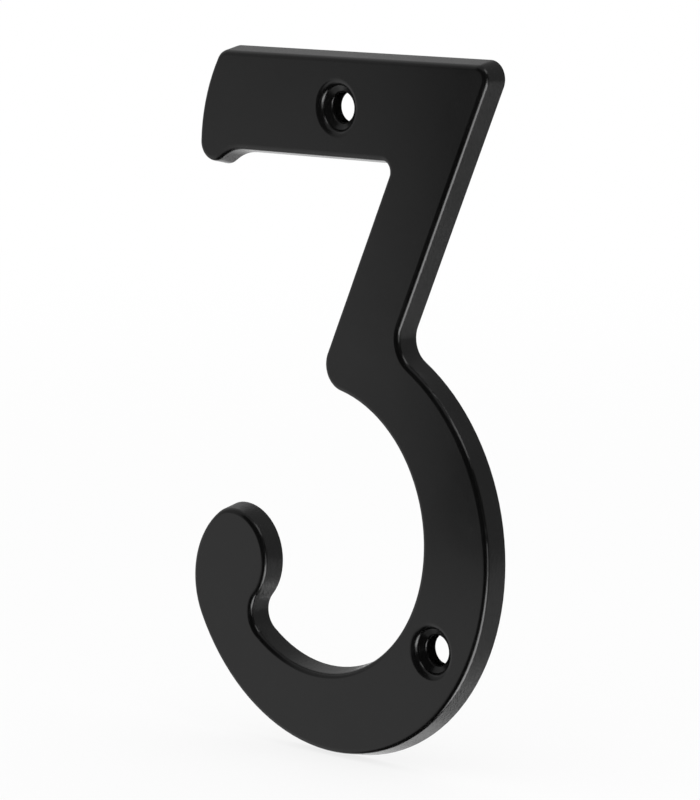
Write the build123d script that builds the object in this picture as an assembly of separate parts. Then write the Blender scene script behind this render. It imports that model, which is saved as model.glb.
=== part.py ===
from build123d import *
import math
import os

# House number three: one flat casting with leaning side walls, held to a wall by two screws.
# The outline is drawn on the wall plane, with x from the figure's left edge and z up from its foot.
# Sizes are in millimetres, angles in degrees, and directions in degrees from +x.

# Casting
height = 101.6
thickness = 3.2
draft_angle = 12.0
front_edge_radius = 0.85

# Top bar and slanting stem, by the lines their edges lie on
bar_depth = 15.4
stem_lean = 25.3
stem_right_x_at_top = 61.8
stem_left_x_at_bar = 40.9

# Hook and curved end at the left of the bar
hook_tip_x = 5.0
hook_tip_z = 87.5
hook_tip_radius = 3.3
bar_end_radius = 26.6
bar_end_start_direction = 177.4

# Bowl: the outer circle stands on the foot line, the inner circle is set off to the left
outer_bowl_x = 29.3
outer_bowl_radius = 31.5
inner_bowl_x = 26.7
inner_bowl_z = 32.9
inner_bowl_radius = 20.4

# Ball end in three arcs: a broad one from the outer bowl, a tight one over the crown,
# and one down the flank to the throat
ball_side_start_direction = 207.6
ball_side_radius = 12.9
ball_crown_start_direction = 125.0
ball_crown_radius = 5.5
ball_flank_start_direction = 93.0
ball_flank_radius = 7.7

# Rounds of the outline's corners
top_left_round = 2.9
top_right_round = 2.6
waist_round = 3.8
ball_throat_round = 3.3
shoulder_round = 4.3
stem_corner_round = 0.9
hook_round = 7.4

# Screw holes: a flared recess with a rounded mouth, a sloping seat and a plain bore
upper_hole_x = 30.7
upper_hole_z = 93.8
lower_hole_x = 49.5
lower_hole_z = 18.2
mouth_diameter = 6.86
mouth_round = 1.15
recess_depth = 0.8
recess_flare = 19.0
seat_slope = 30.0
bore_diameter = 4.3
bore_edge_round = 0.5
cutter_overrun = 2.0

# The origin is on the wall plane at the upper screw hole, and the front faces -y.
wall = Plane(origin=(-upper_hole_x, 0, -upper_hole_z), x_dir=(1, 0, 0), z_dir=(0, -1, 0))


def polar(centre, radius, direction):
    """The point at a distance and a direction from a centre."""
    return centre + Vector(radius, 0).rotate(Axis.Z, direction)


def direction_of(centre, point):
    """The direction from a centre to a point."""
    offset = point - centre
    return math.degrees(math.atan2(offset.Y, offset.X))


def line_meets_circle(start, heading, centre, radius):
    """Where a straight edge from start first meets a circle."""
    along = (centre - start).dot(heading)
    aside = (centre - start).cross(heading).length
    return start + heading * (along - math.sqrt(radius**2 - aside**2))


def circles_meet(centre, radius, other_centre, other_radius):
    """Where two circles cross, on the right of the way from the first centre to the other."""
    between = other_centre - centre
    along = (between.length**2 + radius**2 - other_radius**2) / (2 * between.length)
    aside = math.sqrt(radius**2 - along**2)
    ahead = between.normalized()
    return centre + ahead * along + ahead.rotate(Axis.Z, -90) * aside


def arc_about(centre, start, end, clockwise):
    """The arc about a centre from one point to another."""
    start_direction = direction_of(centre, start)
    sweep = (direction_of(centre, end) - start_direction) % 360
    if clockwise:
        sweep -= 360
    return CenterArc(centre, (start - centre).length, start_direction, sweep)


def figure_outline():
    """The figure on the wall plane, drawn clockwise from the top left with sharp corners, then rounded."""
    bar_underside_z = height - bar_depth
    down_stem = Vector(0, -1).rotate(Axis.Z, -stem_lean)
    outer_bowl = Vector(outer_bowl_x, outer_bowl_radius)
    inner_bowl = Vector(inner_bowl_x, inner_bowl_z)
    hook_tip = Vector(hook_tip_x, hook_tip_z)

    # Two arcs that run into each other have their centres in line with the point where they touch.
    ball_side_start = polar(outer_bowl, outer_bowl_radius, ball_side_start_direction)
    ball_side = polar(ball_side_start, -ball_side_radius, ball_side_start_direction)
    ball_crown_start = polar(ball_side, ball_side_radius, ball_crown_start_direction)
    ball_crown = polar(ball_crown_start, -ball_crown_radius, ball_crown_start_direction)
    ball_flank_start = polar(ball_crown, ball_crown_radius, ball_flank_start_direction)
    ball_flank = polar(ball_flank_start, -ball_flank_radius, ball_flank_start_direction)
    bar_end_start = polar(hook_tip, hook_tip_radius, bar_end_start_direction)
    bar_end = polar(bar_end_start, -bar_end_radius, bar_end_start_direction)

    bar_end_rise = height - bar_end.Y
    top_left = Vector(bar_end.X - math.sqrt(bar_end_radius**2 - bar_end_rise**2), height)
    top_right = Vector(stem_right_x_at_top, height)
    waist = line_meets_circle(top_right, down_stem, outer_bowl, outer_bowl_radius)
    ball_throat = circles_meet(ball_flank, ball_flank_radius, inner_bowl, inner_bowl_radius)
    stem_corner = Vector(stem_left_x_at_bar, bar_underside_z)
    shoulder = line_meets_circle(stem_corner, down_stem, inner_bowl, inner_bowl_radius)
    hook_drop = hook_tip_z - bar_underside_z
    hook = Vector(hook_tip_x + math.sqrt(hook_tip_radius**2 - hook_drop**2), bar_underside_z)

    edges = [
        Line(top_left, top_right),
        Line(top_right, waist),
        arc_about(outer_bowl, waist, ball_side_start, clockwise=True),
        arc_about(ball_side, ball_side_start, ball_crown_start, clockwise=True),
        arc_about(ball_crown, ball_crown_start, ball_flank_start, clockwise=True),
        arc_about(ball_flank, ball_flank_start, ball_throat, clockwise=True),
        arc_about(inner_bowl, ball_throat, shoulder, clockwise=False),
        Line(shoulder, stem_corner),
        Line(stem_corner, hook),
        arc_about(hook_tip, hook, bar_end_start, clockwise=True),
        arc_about(bar_end, bar_end_start, top_left, clockwise=True),
    ]
    corner_rounds = [
        (top_left, top_left_round),
        (top_right, top_right_round),
        (waist, waist_round),
        (ball_throat, ball_throat_round),
        (shoulder, shoulder_round),
        (stem_corner, stem_corner_round),
        (hook, hook_round),
    ]
    figure = make_face(edges)
    for corner, radius in corner_rounds:
        figure = fillet(figure.vertices().sort_by_distance(corner)[0], radius)
    return figure


def casting_blank():
    """The figure drawn out to its thickness between leaning walls, with a rounded front edge."""
    blank = extrude(wall * figure_outline(), thickness, taper=draft_angle)
    front = blank.faces().sort_by(Axis.Y)[0]
    return fillet(front.edges(), front_edge_radius)


def screw_hole_cutter(x, z):
    """The recess, seat and bore of one screw hole, turned about its axis."""
    flare = math.tan(math.radians(recess_flare))
    mouth_radius = mouth_diameter / 2
    bore_radius = bore_diameter / 2
    seat_radius = mouth_radius - recess_depth * flare
    seat_depth = (seat_radius - bore_radius) * math.tan(math.radians(seat_slope))
    recess_floor = thickness - recess_depth
    profile = Polyline(
        (0, thickness + cutter_overrun),
        (mouth_radius + cutter_overrun * flare, thickness + cutter_overrun),
        (seat_radius, recess_floor),
        (bore_radius, recess_floor - seat_depth),
        (bore_radius, -cutter_overrun),
        (0, -cutter_overrun),
        close=True,
    )
    turned = revolve(Plane.XZ * make_face(profile), Axis.Z)
    return wall * Pos(x, z) * turned


def circles_of(body, diameter):
    """The body's circular edges of one diameter."""
    circles = body.edges().filter_by(GeomType.CIRCLE)
    return circles.filter_by(lambda edge: math.isclose(edge.radius, diameter / 2, abs_tol=0.001))


def numeral():
    """The casting with its two screw holes, each with a rounded mouth and a rounded bore edge."""
    body = casting_blank()
    body -= screw_hole_cutter(upper_hole_x, upper_hole_z)
    body -= screw_hole_cutter(lower_hole_x, lower_hole_z)
    body = fillet(circles_of(body, mouth_diameter), mouth_round)
    bore_edges = circles_of(body, bore_diameter).filter_by_position(Axis.Y, -thickness, -bore_edge_round)
    return fillet(bore_edges, bore_edge_round)


os.makedirs("parts", exist_ok=True)
export_step(numeral(), "parts/numeral.step")
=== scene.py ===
import math

import bpy
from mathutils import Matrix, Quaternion, Vector
from mathutils.kdtree import KDTree


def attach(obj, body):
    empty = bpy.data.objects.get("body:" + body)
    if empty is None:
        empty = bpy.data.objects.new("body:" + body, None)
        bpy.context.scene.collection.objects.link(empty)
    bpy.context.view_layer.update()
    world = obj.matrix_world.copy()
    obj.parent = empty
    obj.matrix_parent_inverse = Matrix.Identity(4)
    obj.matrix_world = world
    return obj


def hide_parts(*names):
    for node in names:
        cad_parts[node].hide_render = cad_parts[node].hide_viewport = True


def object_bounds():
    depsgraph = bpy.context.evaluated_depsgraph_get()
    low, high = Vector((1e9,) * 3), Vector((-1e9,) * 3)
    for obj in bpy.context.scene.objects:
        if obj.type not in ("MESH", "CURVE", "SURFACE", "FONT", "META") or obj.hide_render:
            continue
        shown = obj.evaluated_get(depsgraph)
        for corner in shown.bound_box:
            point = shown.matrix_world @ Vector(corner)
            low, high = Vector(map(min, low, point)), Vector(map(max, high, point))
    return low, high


# House number three: a flat casting with a satin black coat, lit on a white studio floor.
# Lengths are in metres and angles in degrees, in the frame of the solids: the front faces -y,
# +z is up, and the origin is on the wall plane at the upper screw hole.

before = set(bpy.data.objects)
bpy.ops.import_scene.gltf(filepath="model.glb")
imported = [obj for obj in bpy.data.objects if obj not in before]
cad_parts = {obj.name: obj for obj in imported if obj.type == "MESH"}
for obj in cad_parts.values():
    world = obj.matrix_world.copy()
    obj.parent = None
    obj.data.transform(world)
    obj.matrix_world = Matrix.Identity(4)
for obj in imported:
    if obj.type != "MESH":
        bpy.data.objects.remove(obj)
cad_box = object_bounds()

# Camera at the photograph's viewing angle
view_azimuth = 45.0
view_elevation = 8.0
view_distance = 0.6183
view_target = Vector((-0.00045, 0.0, -0.04206))
lens_length_mm = 194.2
nearest_seen = 0.01

# Joining and shading of the casting's surface
join_distance = 1e-6
crease_angle = 30.0

# Rounded edges. The front edge goes by its radius, the y of its middle and the y of its foot
# on the side wall, and its outline is read in rows of even facets between two depths.
# The two rounds of a screw hole go by radius, distance of the middle from the hole's axis,
# y of the middle and y of the foot, where the next surface begins.
front_round = 0.00085
front_round_middle_y = -0.00235
front_round_foot_y = -0.002527
even_rows_y = (-0.0029, -0.0026)
hole_axes = {
    "upper": Vector((0.0, 0.0, 0.0)),
    "lower": Vector((0.0188, 0.0, -0.0756)),
}
hole_reach = 0.0043
hole_rounds = (
    (0.00115, 0.00425, -0.00205, -0.002424),
    (0.0005, 0.00265, -0.001531, -0.001531),
)
round_tolerance = 5e-6

# Satin black coat, with clouds of duller, greyer black
coat_black = (0.0016, 0.0016, 0.0016, 1.0)
coat_worn_black = (0.0034, 0.0034, 0.0034, 1.0)
coat_roughness_low = 0.18
coat_roughness_high = 0.25
cloud_scale = 110.0
cloud_detail = 3.0
cloud_span = (0.3, 0.7)

# Fine grain of the coat, full on the side walls and faint on the flat front and back,
# which are told apart by how far the surface faces along y
grain_scale = 3300.0
grain_detail = 2.0
grain_height = 4e-5
wall_grain = 1.0
flat_grain = 0.07
wall_to_flat = (0.22, 0.5)

# White floor, level with the foot of the numeral
floor_half_width = 6.0
floor_colour = (0.86, 0.86, 0.86, 1.0)
floor_white_near = 0.8
floor_white_far = 1.0
floor_fade_start = 0.12
floor_fade_end = 0.7

# White of the surroundings, of the far floor and of what glows
white = (1.0, 1.0, 1.0, 1.0)
surroundings_brightness = 1.0

# Curved studio cards round the numeral, which show in reflections only:
# azimuths from the front to the right, elevations, distance and brightness
studio_cards = (
    ("studio_walls", (-180, 180), (-90, 90), 2.0, 0.34),
    ("dark_under_foot", (-180, 180), (-90, -55), 1.9, 0.02),
    ("bright_rear_floor", (152, 216), (-61, -45), 1.8, 1.5),
    ("pale_rear_floor", (120, 152), (-60, -45), 1.8, 0.7),
    ("bright_rear_left_floor", (-150, -126), (-47, -3), 1.8, 1.0),
    ("bright_left_floor", (-80, -20), (-45, -3), 1.8, 0.6),
    ("upper_left_panel", (-135, -70), (22, 68), 1.8, 0.5),
    ("dark_front_floor", (-10, 45), (-80, -10), 1.7, 0.03),
    ("dark_right_curtain", (40, 94), (-10, 56), 1.7, 0.06),
    ("right_edge_light", (108, 127), (-55, -9), 1.7, 0.75),
    ("dim_rear_wall", (127, 216), (-45, 60), 1.6, 0.3),
    ("right_glow", (56, 76), (-16, 2), 1.6, 1.6),
    ("dark_front_curtain", (-39, 50), (-16, 56), 0.2, 0.03),
)
card_divisions = 36
card_grid_size = 1.0

# Small black cards close behind the two bores, which show in reflections only: painted shade, so that
# the bore walls reflect black
bore_card_gap = Vector((0.0, 0.0003, 0.0))
bore_card_radius = 0.0024
bore_card_rotation = (math.radians(90.0), 0.0, 0.0)
bore_card_brightness = 0.0

# Softbox low on the right, which shows in reflections only
softbox_azimuth = 75.0
softbox_elevation = -50.0
softbox_distance = 1.0
softbox_turn = 28.0
softbox_width = 0.46
softbox_length = 1.34
softbox_brightness = 5.4

# Soft lamp above the right-hand side
lamp_azimuth = 80.0
lamp_elevation = 60.0
lamp_distance = 0.5
lamp_turn = 0.0
lamp_width = 0.22
lamp_length = 0.25
lamp_brightness = 1.8

foot_z = cad_box[0].z
numeral_middle = (cad_box[0] + cad_box[1]) / 2


def direction(azimuth, elevation):
    """The unit vector towards an azimuth, counted from the front to the right, and an elevation."""
    turn = math.radians(azimuth)
    rise = math.radians(elevation)
    level = math.cos(rise)
    return Vector((math.sin(turn) * level, -math.cos(turn) * level, math.sin(rise)))


def between(limits, share):
    """The value at a share of the way from one limit to the other."""
    return limits[0] + share * (limits[1] - limits[0])


def make_active(thing):
    """Selects one object alone, so that operators act on nothing else."""
    bpy.ops.object.select_all(action="DESELECT")
    thing.select_set(True)
    bpy.context.view_layer.objects.active = thing


def node_tree_of(material):
    """A material's empty node tree with its output, ready for shaders."""
    material.use_nodes = True
    tree = material.node_tree
    tree.nodes.clear()
    return tree, tree.nodes.new("ShaderNodeOutputMaterial")


def noise(tree, place, scale, detail):
    """Noise over the piece's own coordinates."""
    texture = tree.nodes.new("ShaderNodeTexNoise")
    texture.inputs["Scale"].default_value = scale
    texture.inputs["Detail"].default_value = detail
    tree.links.new(place, texture.inputs["Vector"])
    return texture.outputs["Fac"]


def spread(tree, value, span, low, high):
    """A value that runs over a span, spread from low to high."""
    ranged = tree.nodes.new("ShaderNodeMapRange")
    ranged.inputs["From Min"].default_value = span[0]
    ranged.inputs["From Max"].default_value = span[1]
    ranged.inputs["To Min"].default_value = low
    ranged.inputs["To Max"].default_value = high
    tree.links.new(value, ranged.inputs["Value"])
    return ranged.outputs["Result"]


def satin_black_coat():
    """Satin black coat with faint clouds of duller, greyer black and a fine grain on the side walls."""
    coat = bpy.data.materials.new("satin_black_coat")
    tree, output = node_tree_of(coat)
    shader = tree.nodes.new("ShaderNodeBsdfPrincipled")
    coordinates = tree.nodes.new("ShaderNodeTexCoord")
    place = coordinates.outputs["Object"]
    clouds = noise(tree, place, cloud_scale, cloud_detail)

    blend = tree.nodes.new("ShaderNodeMix")
    blend.data_type = "RGBA"
    blend.inputs["A"].default_value = coat_black
    blend.inputs["B"].default_value = coat_worn_black
    tree.links.new(spread(tree, clouds, cloud_span, 0.0, 1.0), blend.inputs["Factor"])
    tree.links.new(blend.outputs["Result"], shader.inputs["Base Color"])

    roughness = spread(tree, clouds, cloud_span, coat_roughness_low, coat_roughness_high)
    tree.links.new(roughness, shader.inputs["Roughness"])

    grain = tree.nodes.new("ShaderNodeBump")
    grain.inputs["Distance"].default_value = grain_height
    parts = tree.nodes.new("ShaderNodeSeparateXYZ")
    tree.links.new(coordinates.outputs["Normal"], parts.inputs["Vector"])
    facing = tree.nodes.new("ShaderNodeMath")
    facing.operation = "ABSOLUTE"
    tree.links.new(parts.outputs["Y"], facing.inputs[0])
    strength = spread(tree, facing.outputs["Value"], wall_to_flat, wall_grain, flat_grain)
    tree.links.new(strength, grain.inputs["Strength"])
    tree.links.new(noise(tree, place, grain_scale, grain_detail), grain.inputs["Height"])
    tree.links.new(grain.outputs["Normal"], shader.inputs["Normal"])
    tree.links.new(shader.outputs["BSDF"], output.inputs["Surface"])
    return coat


def flat_part(vector):
    """A vector without its depth, along the wall plane."""
    return Vector((vector.x, 0.0, vector.z))


def from_nearest_hole(place):
    """The way along the wall plane from the nearer screw hole's axis to a place."""
    ways = [flat_part(place - axis) for axis in hole_axes.values()]
    return min(ways, key=lambda way: way.length)


def hole_normal(place, way, found):
    """The direction of a hole's surface: a round's own on its rounded edges, and as found elsewhere."""
    for radius, reach, middle_y, foot_y in hole_rounds:
        offset = way - way.normalized() * reach
        offset.y = place.y - middle_y
        on_circle = abs(offset.length - radius) < round_tolerance
        if on_circle and place.y < foot_y + round_tolerance:
            return offset.normalized()
    return found


def front_normal(place, outline, directions):
    """The direction of the rounded front edge, square to the outline, or of the flat front."""
    nearest = outline.find(flat_part(place))[1]
    lean = max(-1.0, (place.y - front_round_middle_y) / front_round)
    normal = directions[nearest] * math.sqrt(1.0 - lean * lean)
    normal.y = lean
    return normal


def on_even_rows(place):
    """Whether a place lies low on the rounded front edge, where the facets lie evenly."""
    in_rows = even_rows_y[0] < place.y < even_rows_y[1]
    return in_rows and from_nearest_hole(place).length > hole_reach


def outline_directions(mesh):
    """The places all along the figure's outline, and the way out from the figure at each."""
    vertices = [vertex for vertex in mesh.vertices if on_even_rows(vertex.co)]
    outline = KDTree(len(vertices))
    for index, vertex in enumerate(vertices):
        outline.insert(flat_part(vertex.co), index)
    outline.balance()
    return outline, [flat_part(vertex.normal).normalized() for vertex in vertices]


def set_true_rounds(mesh):
    """Gives corners on the rounded edges the rounds' own directions, which uneven facets miss."""
    outline, directions = outline_directions(mesh)
    normals = []
    for loop, corner in zip(mesh.loops, mesh.corner_normals):
        place = mesh.vertices[loop.vertex_index].co
        way = from_nearest_hole(place)
        normal = corner.vector.copy()
        if way.length < hole_reach:
            normal = hole_normal(place, way, normal)
        elif place.y < front_round_foot_y + round_tolerance:
            normal = front_normal(place, outline, directions)
        normals.append(normal)
    mesh.normals_split_custom_set(normals)


def coated_numeral():
    """The casting's own surface, joined up, shaded smooth and coated, in place of the solid."""
    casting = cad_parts["numeral"]
    numeral = bpy.data.objects.new("coated_numeral", casting.data.copy())
    bpy.context.scene.collection.objects.link(numeral)
    make_active(numeral)
    bpy.ops.mesh.customdata_custom_splitnormals_clear()
    bpy.ops.object.mode_set(mode="EDIT")
    bpy.ops.mesh.select_all(action="SELECT")
    bpy.ops.mesh.remove_doubles(threshold=join_distance)
    bpy.ops.object.mode_set(mode="OBJECT")
    bpy.ops.object.shade_smooth_by_angle(angle=math.radians(crease_angle))
    even_shading = numeral.modifiers.new("even_shading", "WEIGHTED_NORMAL")
    even_shading.keep_sharp = True
    bpy.ops.object.modifier_apply(modifier=even_shading.name)
    set_true_rounds(numeral.data)
    numeral.data.materials.clear()
    numeral.data.materials.append(satin_black_coat())
    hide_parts("numeral")
    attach(numeral, "root")


def background_share(tree):
    """One for rays that show the background: the camera's, reflections and those through glass."""
    paths = tree.nodes.new("ShaderNodeLightPath")
    share = paths.outputs["Is Camera Ray"]
    for name in ("Is Glossy Ray", "Is Transmission Ray"):
        either = tree.nodes.new("ShaderNodeMath")
        either.operation = "MAXIMUM"
        tree.links.new(share, either.inputs[0])
        tree.links.new(paths.outputs[name], either.inputs[1])
        share = either.outputs["Value"]
    return share


def white_floor_finish():
    """Pale matt floor that keeps the numeral's shadow near it and is plain white further away."""
    finish = bpy.data.materials.new("white_floor")
    tree, output = node_tree_of(finish)
    matt = tree.nodes.new("ShaderNodeBsdfDiffuse")
    matt.inputs["Color"].default_value = floor_colour
    plain_white = tree.nodes.new("ShaderNodeEmission")
    plain_white.inputs["Color"].default_value = white

    place = tree.nodes.new("ShaderNodeTexCoord").outputs["Object"]
    reach = tree.nodes.new("ShaderNodeVectorMath")
    reach.operation = "LENGTH"
    tree.links.new(place, reach.inputs[0])
    fade = tree.nodes.new("ShaderNodeMapRange")
    fade.interpolation_type = "SMOOTHSTEP"
    fade.inputs["From Min"].default_value = floor_fade_start
    fade.inputs["From Max"].default_value = floor_fade_end
    fade.inputs["To Min"].default_value = floor_white_near
    fade.inputs["To Max"].default_value = floor_white_far
    tree.links.new(reach.outputs["Value"], fade.inputs["Value"])

    share = tree.nodes.new("ShaderNodeMath")
    share.operation = "MULTIPLY"
    tree.links.new(background_share(tree), share.inputs[0])
    tree.links.new(fade.outputs["Result"], share.inputs[1])
    blend = tree.nodes.new("ShaderNodeMixShader")
    tree.links.new(share.outputs["Value"], blend.inputs["Fac"])
    tree.links.new(matt.outputs["BSDF"], blend.inputs[1])
    tree.links.new(plain_white.outputs["Emission"], blend.inputs[2])
    tree.links.new(blend.outputs["Shader"], output.inputs["Surface"])
    return finish


def white_floor():
    """Floor under the numeral's foot."""
    bpy.ops.object.select_all(action="DESELECT")
    bpy.ops.mesh.primitive_plane_add(size=2 * floor_half_width, location=(0, 0, foot_z))
    floor = bpy.context.active_object
    floor.name = "floor"
    floor.data.materials.append(white_floor_finish())
    floor.visible_glossy = False


def white_surroundings():
    """White all round, as bright as white paper."""
    world = bpy.data.worlds.new("white_surroundings")
    bpy.context.scene.world = world
    world.cycles.sampling_method = "NONE"
    world.use_nodes = True
    tree = world.node_tree
    tree.nodes.clear()
    output = tree.nodes.new("ShaderNodeOutputWorld")
    plain_white = tree.nodes.new("ShaderNodeBackground")
    plain_white.inputs["Color"].default_value = white
    plain_white.inputs["Strength"].default_value = surroundings_brightness
    tree.links.new(plain_white.outputs["Background"], output.inputs["Surface"])


def card_finish(name, brightness):
    """Even glow for a card, met only by the rays that run into it."""
    finish = bpy.data.materials.new(name)
    tree, output = node_tree_of(finish)
    glow = tree.nodes.new("ShaderNodeEmission")
    glow.inputs["Color"].default_value = white
    glow.inputs["Strength"].default_value = brightness
    tree.links.new(glow.outputs["Emission"], output.inputs["Surface"])
    finish.cycles.emission_sampling = "NONE"
    return finish


def set_up_card(card, name, brightness):
    """Names a card, makes it glow and keeps it out of everything but reflections."""
    card.name = name
    card.data.materials.append(card_finish(name, brightness))
    card.visible_camera = False
    card.visible_diffuse = False
    card.visible_shadow = False
    card.visible_transmission = False


def curved_card(name, azimuths, elevations, radius, brightness):
    """Part of a sphere round the numeral, between two azimuths and between two elevations."""
    bpy.ops.object.select_all(action="DESELECT")
    bpy.ops.mesh.primitive_grid_add(
        x_subdivisions=card_divisions,
        y_subdivisions=card_divisions,
        size=card_grid_size,
        location=numeral_middle,
    )
    card = bpy.context.active_object
    for vertex in card.data.vertices:
        azimuth = between(azimuths, vertex.co.x + card_grid_size / 2)
        elevation = between(elevations, vertex.co.y + card_grid_size / 2)
        vertex.co = direction(azimuth, elevation) * radius
    set_up_card(card, name, brightness)


def bore_shade_card(name, axis):
    """Black disc behind one bore, seen in reflections only: painted shade, so that its wall shows no
    light from the room behind.
    """
    bpy.ops.object.select_all(action="DESELECT")
    bpy.ops.mesh.primitive_circle_add(
        radius=bore_card_radius,
        fill_type="NGON",
        location=axis + bore_card_gap,
        rotation=bore_card_rotation,
    )
    set_up_card(bpy.context.active_object, name, bore_card_brightness)


def place_facing(thing, azimuth, elevation, distance, turn):
    """Puts a lamp or a flat card in a direction from the numeral, facing it and turned about it."""
    outward = direction(azimuth, elevation)
    thing.location = numeral_middle + outward * distance
    upright = (-outward).to_track_quat("-Z", "Y")
    thing.rotation_euler = (upright @ Quaternion((0, 0, 1), math.radians(turn))).to_euler()


def low_softbox():
    """Long flat card low on the right."""
    bpy.ops.object.select_all(action="DESELECT")
    bpy.ops.mesh.primitive_plane_add(size=1)
    softbox = bpy.context.active_object
    softbox.scale = (softbox_width, softbox_length, 1)
    place_facing(softbox, softbox_azimuth, softbox_elevation, softbox_distance, softbox_turn)
    set_up_card(softbox, "low_softbox", softbox_brightness)


def top_lamp():
    """Soft rectangular lamp whose surface has a given brightness, where white paper has one."""
    light = bpy.data.lights.new("top_lamp", "AREA")
    light.shape = "RECTANGLE"
    light.size = lamp_width
    light.size_y = lamp_length
    light.energy = lamp_brightness * math.pi * lamp_width * lamp_length
    lamp = bpy.data.objects.new("top_lamp", light)
    bpy.context.scene.collection.objects.link(lamp)
    place_facing(lamp, lamp_azimuth, lamp_elevation, lamp_distance, lamp_turn)


def photograph_camera():
    """Camera where the photograph was taken from, aimed at the middle of its frame."""
    camera = bpy.data.objects.new("camera", bpy.data.cameras.new("camera"))
    bpy.context.scene.collection.objects.link(camera)
    backward = direction(view_azimuth, view_elevation)
    camera.location = view_target + backward * view_distance
    camera.rotation_euler = (-backward).to_track_quat("-Z", "Y").to_euler()
    camera.data.lens = lens_length_mm
    camera.data.clip_start = nearest_seen
    bpy.context.scene.camera = camera


coated_numeral()
white_floor()
white_surroundings()
for card in studio_cards:
    curved_card(*card)
# Painted shade: black discs behind the two bores, seen in reflections only
for name, axis in hole_axes.items():
    bore_shade_card(name + "_bore_shade_card", axis)
low_softbox()
top_lamp()
photograph_camera()
bpy.context.scene.view_settings.view_transform = "Standard"
